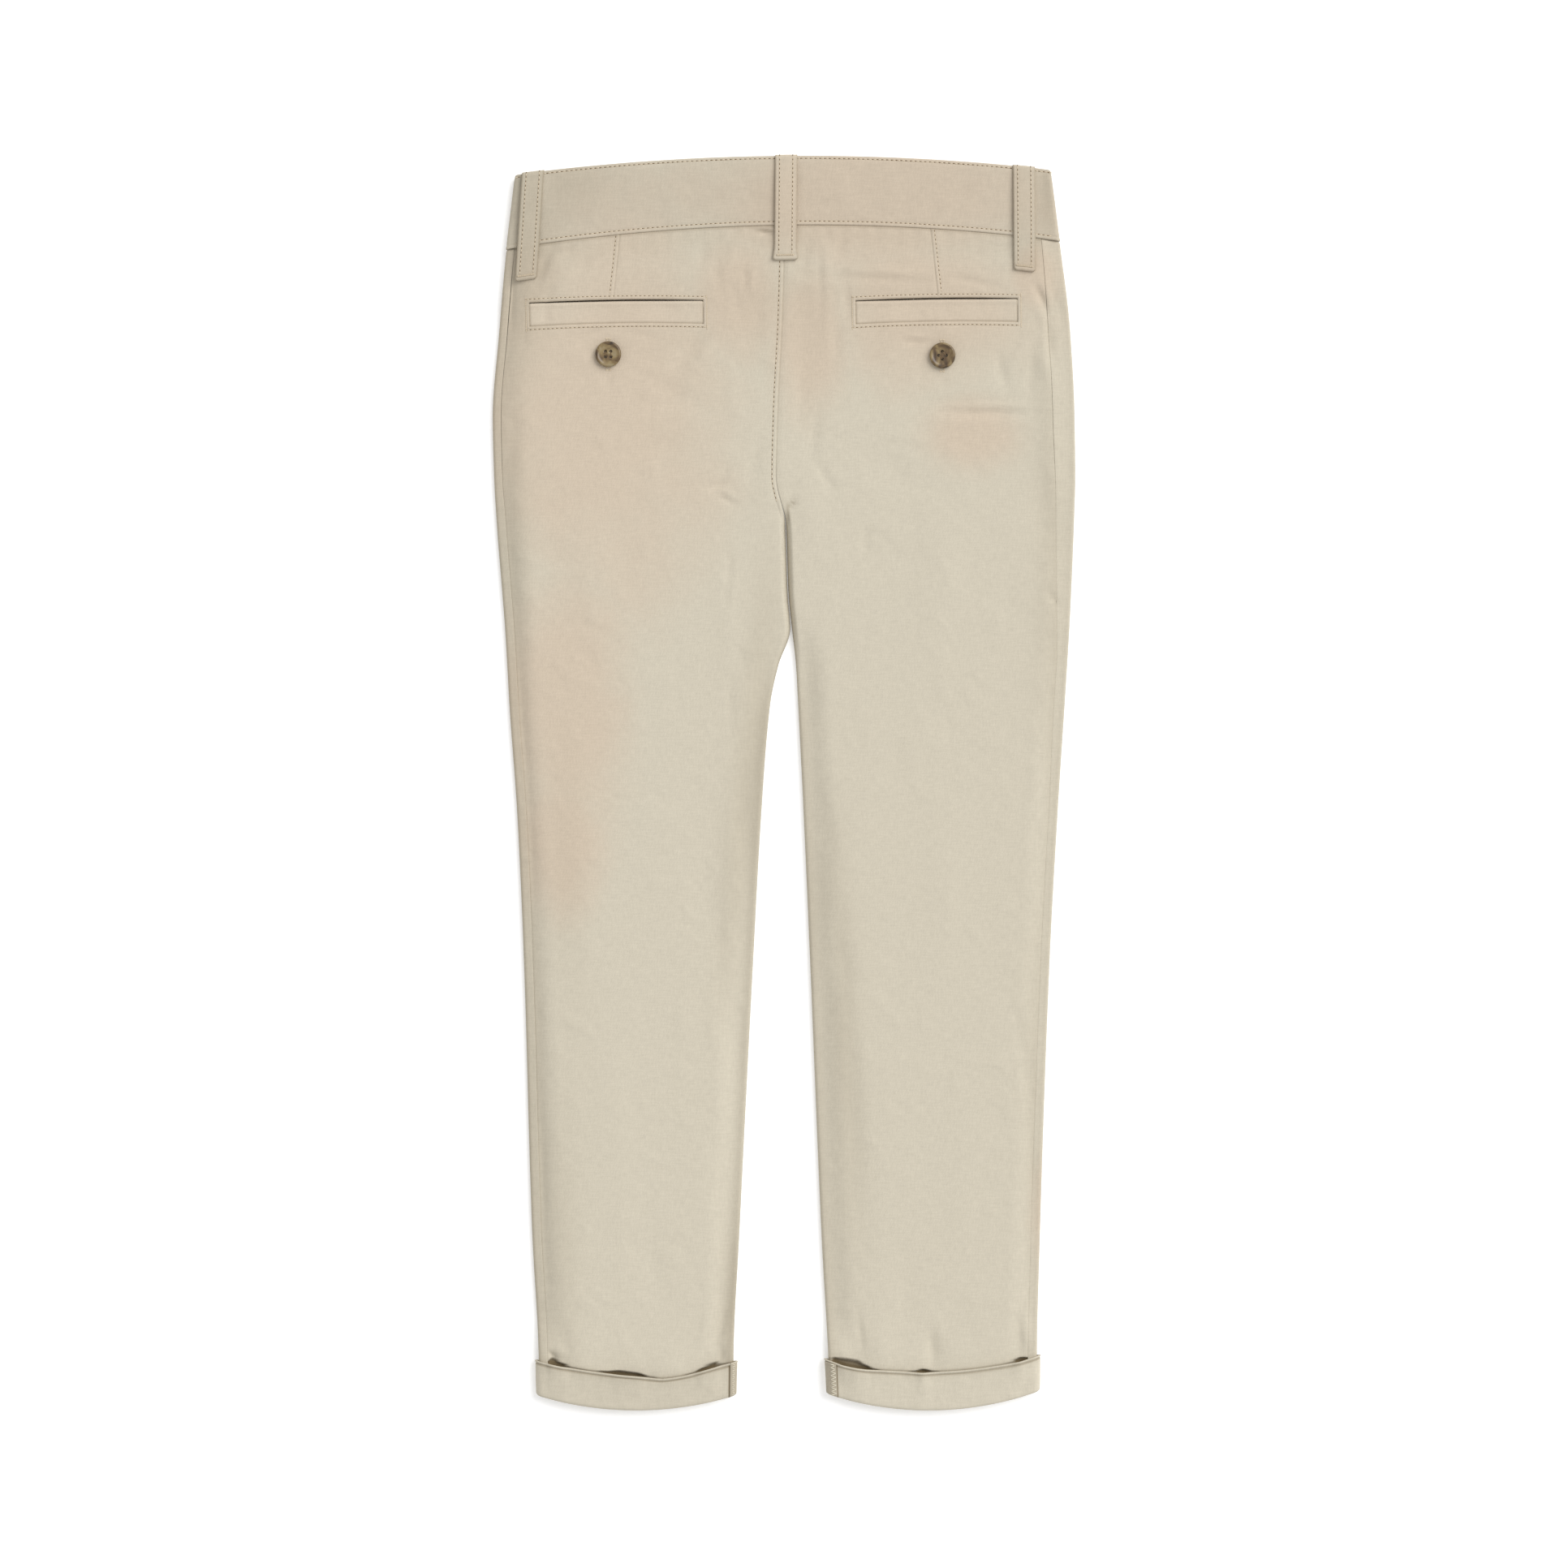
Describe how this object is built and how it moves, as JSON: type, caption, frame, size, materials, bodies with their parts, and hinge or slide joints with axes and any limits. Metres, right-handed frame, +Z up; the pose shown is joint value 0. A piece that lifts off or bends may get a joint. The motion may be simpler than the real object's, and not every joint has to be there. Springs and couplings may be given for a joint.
{
  "type": "chino trousers",
  "caption": "Child's beige cotton chino trousers with turned-up cuffs, welt back pockets and belt loops, laid out flat with the back upwards.",
  "frame": {"origin": "middle of the garment's outline, on the surface that it lies on", "axes": "+X to the wearer's right, +Y from the hems to the waist, +Z up out of the back of the garment"},
  "size_m": [0.3158, 0.679, 0.0097],
  "materials": {
    "cotton_twill": "brushed cotton twill, garment dyed, matt",
    "horn_button": "mottled brown horn-like resin, satin"
  },
  "bodies": {
    "root": {"back_left": "cotton_twill", "back_right": "cotton_twill", "front_left": "cotton_twill", "front_right": "cotton_twill", "pocket_facing_left": "cotton_twill", "pocket_facing_right": "cotton_twill", "waistband_left": "cotton_twill", "waistband_right": "cotton_twill", "cuff_left": "cotton_twill", "cuff_right": "cotton_twill", "welt_left": "cotton_twill", "welt_right": "cotton_twill", "loop_back_centre": "cotton_twill", "loop_back_left": "cotton_twill", "loop_back_right": "cotton_twill", "loop_front_left": "cotton_twill", "loop_front_right": "cotton_twill", "button_pocket_left": "horn_button", "button_pocket_right": "horn_button", "button_waist": "horn_button"}
  },
  "joints": []
}
